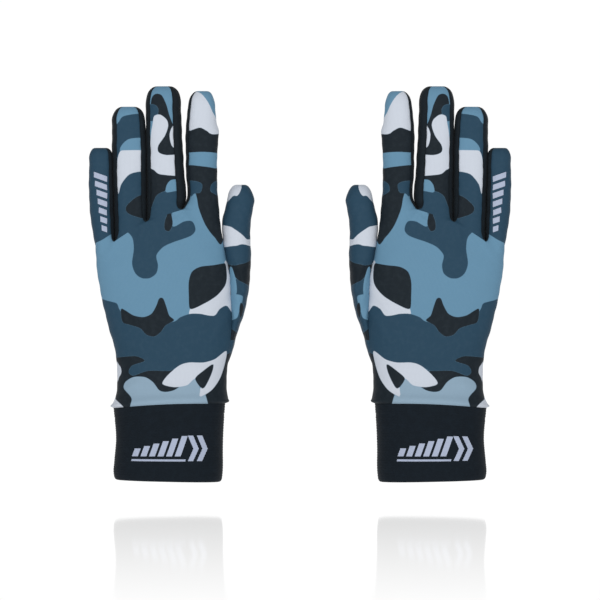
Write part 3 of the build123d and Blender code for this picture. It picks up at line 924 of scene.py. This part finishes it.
thumb_box = [np.array(corner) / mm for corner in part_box("left_thumb_back")]
thumb_knuckle = thumb_box[0][2]
thumb = Finger(
    34, (None, None),
    (
        through((70, 31), (80, 34.5), (90, 37), (104, 38), (118, 37.2), (128, 36.8), (140, 34.6), (150, 33.4),
                (161, 33), (168, 34.5), (177, 36.8)),
        through((70, 36), (76, 38), (80, 39.4), (89, 41.8), (96, 44), (105, 47.1), (119, 49.8), (139, 51.2),
                (160, 51), (168, 52.3), (177, 53.9)),
        through((70, -3), (80, -5), (96, -6.5), (106, -7.5), (120, -8), (135, -7.4), (150, -6.2), (162, -5.4),
                (177, -4)),
        through((70, 7), (84, 12), (96, 15), (120, 16), (135, 15), (149, 14), (162, 13.4), (177, 12)),
    ),
    10.5, 0.3, (1, 1), 0.85,
)
thumb.top = 184.1
thumb_row, thumb_width = 0.8, 18.0
thumb_tip = 20.0
thumb_bend = (thumb_knuckle + 0.5, thumb_knuckle + 17)


def thumb_patch(first, last, palm):
    """Half of the thumb's tube between two heights."""
    q = np.linspace(0, 1, thumb.columns + 1)
    rows = max(int((last - first) / thumb_row), 12)
    height = np.broadcast_to(np.linspace(first, last, rows)[:, None], (rows, len(q)))
    angle = mix(math.pi, 2 * math.pi if palm else 0.0, q)
    seam = edge_distance(q, thumb_width)
    points = settle(thumb.tube(np.broadcast_to(angle, height.shape), height, seam_sink(seam)))
    seam = np.broadcast_to(seam, height.shape)
    return Patch(points[:, ::-1], seam[:, ::-1]) if palm else Patch(points, seam)


thumb_tip_start = thumb.top - thumb_tip
both_gloves("thumb_gusset", [thumb_patch(70, thumb_knuckle, False), thumb_patch(70, thumb_knuckle, True)],
            camouflage_knit, "printed_knit", paint=camouflaged("thumb"))
both_gloves("thumb_back", [thumb_patch(thumb_knuckle, thumb.top, False)], camouflage_knit, "printed_knit",
            body="thumb", bend=thumb_bend, paint=camouflaged("thumb"))
both_gloves("thumb_palm", [thumb_patch(thumb_knuckle, thumb_tip_start, True)], side_knit, "plain_knit",
            body="thumb", bend=thumb_bend)
both_gloves("thumb_touch_tip", [thumb_patch(thumb_tip_start, thumb.top, True)], touch_knit, "touch_knit",
            body="thumb", bend=thumb_bend)

# ---------------------------------------------------------------------------------------------------------
# Cuff. A long tube of thicker plain knit, doubled: the outer layer folds under at the hem and runs back up
# inside as the lining. The hand's panels are overlocked to both layers at the wrist.

cuff_outline = (
    through((0, -32.8), (1.5, -33.5), (4, -33.9), (12, -33.5), (28, -32.6), (40, -33.3), (48.5, -34)),
    through((0, 32.4), (1.5, 33), (4, 33.3), (20, 33.7), (34, 34.3), (48.5, 35)),
    through((0, -21.6), (3, -22), (28, -21.6), (48.5, -22)),
    through((0, 21.6), (3, 22), (28, 21.6), (48.5, 22)),
)
cuff_fullness = 2.5
tack_height = 40.6  # the line where the two layers are tacked together
cuff_columns = 260
cuff_knit_thickness = 0.85


def cuff_point(angle, height, inset):
    edges = [edge(height) for edge in cuff_outline]
    ripple = 0.15 * np.sin(height * 2 * math.pi / 1.6) * smooth(height / 4)
    sag = 0.25 * np.sin(height * 0.16 + 2 * np.sin(angle)) * np.sin(2 * angle + 0.6)
    stitch_line = 0.22 * np.exp(-(((height - tack_height) / 0.6) ** 2))
    u, y = section(angle, edges, cuff_fullness, inset - ripple - sag + stitch_line)
    return np.stack([u, y, height + wrist_tilt(u, height)], axis=-1)


def cuff_patch(path):
    """The cuff's tube along a path of (inset, height) points."""
    path = np.array(path, float)
    inset, height = path[:, :1], path[:, 1:]
    angle = np.linspace(math.pi, -math.pi, cuff_columns + 1)[:-1][None]
    shape = (len(path), cuff_columns)
    angle, height = np.broadcast_to(angle, shape), np.broadcast_to(height, shape)
    return Patch(cuff_point(angle, height, inset), closed=True)


hem_radius = 0.9
hem = [(hem_radius * (1 + math.cos(a)), hem_radius * (1 - math.sin(a))) for a in np.linspace(0, math.pi, 12)]
cuff_knit = plain_knit("cuff_knit", (15, 24, 32), 0.9, 0.07, 0.75)
outer_path = hem + [(0, height) for height in np.linspace(hem_radius + 0.5, cuff_top - 0.2, 86)]
both_gloves("cuff_outer", [cuff_patch(outer_path)], cuff_knit, "cuff_knit", thickness=cuff_knit_thickness)
lining_thickness = cuff_knit_thickness - 0.1
lining_path = [(1.85, height) for height in np.linspace(cuff_top - 1.6, hem_radius, 60)]
lining = cuff_patch(lining_path)
both_gloves("cuff_lining", [lining], cuff_knit, "cuff_knit", thickness=lining_thickness)

# ---------------------------------------------------------------------------------------------------------
# Wrist seam. The overlocked join of cuff and hand, a soft bead of cloth edges wrapped in looped thread, on
# the inside of the glove.

bead_radius = 0.75
bead_height = cuff_top - 0.9
bead_path = [
    (2.2 + bead_radius * math.cos(a), bead_height - bead_radius * math.sin(a))
    for a in np.linspace(0.35, 2 * math.pi - 0.35, 14)
]

thread_loop = 1.6


def thread_material():
    made, shader = new_material("seam_thread")
    cloth = shader.stored("cloth", 1)
    loops = ((cloth.axis("X") + cloth.axis("Y") * 0.4) * (2 * math.pi / thread_loop)).wave()
    # painted shade: darker in the gaps between the loops of thread
    colour = shader.dyed(34, 40, 47).painted(tint(12, 15, 19), (1 - loops) * 0.8)
    finish_dull(shader, colour, 0.5 + loops * 0.15, (loops * 0.25).bump(0.8), Sheen_Weight=0.1)
    return made


both_gloves("wrist_seam", [cuff_patch(bead_path)], thread_material(), "seam_thread", thickness=0.3)

# ---------------------------------------------------------------------------------------------------------
# Size label. A small blank strip of woven satin tape, caught in the wrist seam on the inside of the cuff.

label_low, label_high = (np.array(corner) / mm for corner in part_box("left_size_label"))


def label_material():
    made, shader = new_material("woven_label")
    normal, uneven, fuzz, ribs = knit_bump(shader, 0.7, 0.04)
    colour = shader.dyed(205, 208, 212).painted(tint(150, 156, 164), ribs * 0.35 + (uneven - 0.4) * 0.2)
    finish_dull(shader, colour, 0.42 + fuzz * 0.2, normal, Sheen_Weight=0.15)
    return made


label_u, label_z = np.meshgrid(
    np.linspace(label_low[0], label_high[0], 22) - glove_middle, np.linspace(label_low[2], label_high[2], 26)
)
hanging = (label_high[2] - label_z) / (label_high[2] - label_low[2])
label_y = label_high[1] + 0.25 + 0.5 * hanging**2 + 0.12 * np.sin(label_u * 0.5) * hanging
label_points = np.stack([label_u, label_y, label_z], axis=-1)
both_gloves("size_label", [Patch(label_points)], label_material(), "woven_label", thickness=0.4)

# ---------------------------------------------------------------------------------------------------------
# Prints. Plain sports marks in pale rubbery transfer: rising slanted bars with a rule and a pair of arrow
# heads on the front of the cuff, and the same bars up the back of the little finger.

print_proud = 0.22


def transfer_material():
    made, shader = new_material("pale_transfer")
    rest = shader.stored("rest", 1)
    grain, wear = rest.noise(3.0, 3.0), rest.noise(0.5, 4.0)
    worn = ((wear - 0.55) * 3).clamped() * 0.4 + (grain - 0.5) * 0.2
    colour = shader.dyed(168, 178, 200).painted(tint(120, 132, 154), worn)
    finish_dull(shader, colour, 0.45 + grain * 0.2, (grain * 0.08).bump(0.4), Specular_IOR_Level=0.35)
    return made


def rising_bars(count, height, step, width):
    """Corners of slanted bars that grow from left to right, round (0, 0)."""
    lean, low = math.tan(math.radians(20)), -height / 2
    for number in range(count):
        tall = height * (0.4 + 0.6 * number / (count - 1))
        foot = (number - (count - 1) / 2) * step - width / 2 + lean * low
        head = foot + lean * tall
        yield (foot, low), (foot + width, low), (head + width, low + tall), (head, low + tall)


def laid_on(surface, corners):
    """A four-cornered mark pressed onto the front of a tube of cloth."""
    across, up = np.meshgrid(np.linspace(0, 1, 9), np.linspace(0, 1, 15))
    a, b, c, d = (np.array(corner)[None, None] for corner in corners)
    spot = mix(mix(a, b, across[..., None]), mix(d, c, across[..., None]), up[..., None])
    return Patch(surface(spot[..., 0], spot[..., 1]))


def on_front(outline, fullness, point):
    """Finds the place on the front of a tube of cloth for a spot (u, z)."""

    def place(u, z):
        left, right = outline[0](z), outline[1](z)
        share = np.clip((u - (left + right) / 2) / ((right - left) / 2), -1, 1)
        return point(np.arccos(np.sign(share) * np.abs(share) ** (fullness / 2)), z)

    return place


def on_cuff(angle, z):
    return cuff_point(angle, z, -print_proud)


def on_little(angle, z):
    return settle(little.tube(angle, z, -print_proud))


little = fingers["little"]
front_of_cuff = on_front(cuff_outline, cuff_fullness, on_cuff)
front_of_little = on_front(little.outline, little.fullness, on_little)

transfer = transfer_material()
cuff_print_middle = (-4.5, 22.5)
cuff_marks = list(rising_bars(6, 12, 5.2, 3.6))
cuff_marks.append(((-17.5, -9.2), (15.5, -9.2), (15.8, -8), (-17.2, -8)))
for arrow in (20.5, 26.0):
    cuff_marks.append(((arrow - 3.4, -9), (arrow - 0.2, -9), (arrow + 3.2, -1.4), (arrow, -1.4)))
    cuff_marks.append(((arrow, -1.4), (arrow + 3.2, -1.4), (arrow - 0.2, 6.2), (arrow - 3.4, 6.2)))


for side, facing in glove_sides.items():
    patches = []
    for corners in cuff_marks:
        spots = [(facing * (x + cuff_print_middle[0]), z + cuff_print_middle[1]) for x, z in corners]
        if facing < 0:
            spots = [spots[1], spots[0], spots[3], spots[2]]
        patches.append(laid_on(front_of_cuff, spots))
    piece = shell(f"{side}_cuff_emblem_print", side, patches, transfer, thickness=0.35)
    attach(piece, f"{side}_hand")
    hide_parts(f"{side}_cuff_emblem")

# The same bars run up the little finger.
finger_print_middle = (-41.8, 173)
finger_patches = []
for corners in rising_bars(7, 8, 5.2, 3.4):
    spots = [(finger_print_middle[0] - z, finger_print_middle[1] + x) for x, z in corners]
    finger_patches.append(laid_on(front_of_little, spots))
both_gloves("little_finger_emblem", finger_patches, transfer, "transfer_print", body="little",
            bend=knuckle_bend["little"], thickness=0.35)

# ---------------------------------------------------------------------------------------------------------
# Pressing. The finished gloves are steamed flat, so the cloth runs on without a step from one piece to the
# next: points that meet share one direction of shading.

for side, sheets in pressed.items():
    spots, directions = [], []
    for piece, numbers, normals in sheets:
        places = np.empty(len(piece.data.vertices) * 3, np.float32)
        piece.data.vertices.foreach_get("co", places)
        spots.append(np.round(places.reshape(-1, 3)[numbers] * 1e6).astype(np.int64))
        directions.append(normals * (glove_sides[side], 1, 1))
    joined, where = np.unique(np.concatenate(spots), axis=0, return_inverse=True)
    where = where.ravel()
    total = np.zeros((len(joined), 3))
    np.add.at(total, where, np.concatenate(directions))
    total /= np.maximum(np.linalg.norm(total, axis=1, keepdims=True), 1e-9)
    start = 0
    for piece, numbers, normals in sheets:
        mesh = piece.data
        corner = np.empty(len(mesh.loops), np.int32)
        mesh.loops.foreach_get("vertex_index", corner)
        flat = np.empty(len(mesh.polygons) * 3, np.float32)
        mesh.polygons.foreach_get("normal", flat)
        shading = np.repeat(flat.reshape(-1, 3), 4, axis=0)
        outside = np.zeros((len(mesh.vertices), 3))
        outside[numbers] = total[where[start : start + len(numbers)]]
        is_outer = np.zeros(len(mesh.vertices), bool)
        is_outer[numbers] = True
        outer_face = np.repeat(is_outer[corner].reshape(-1, 4).all(axis=1), 4)
        shading[outer_face] = outside[corner[outer_face]]
        mesh.normals_split_custom_set(shading.tolist())
        start += len(numbers)
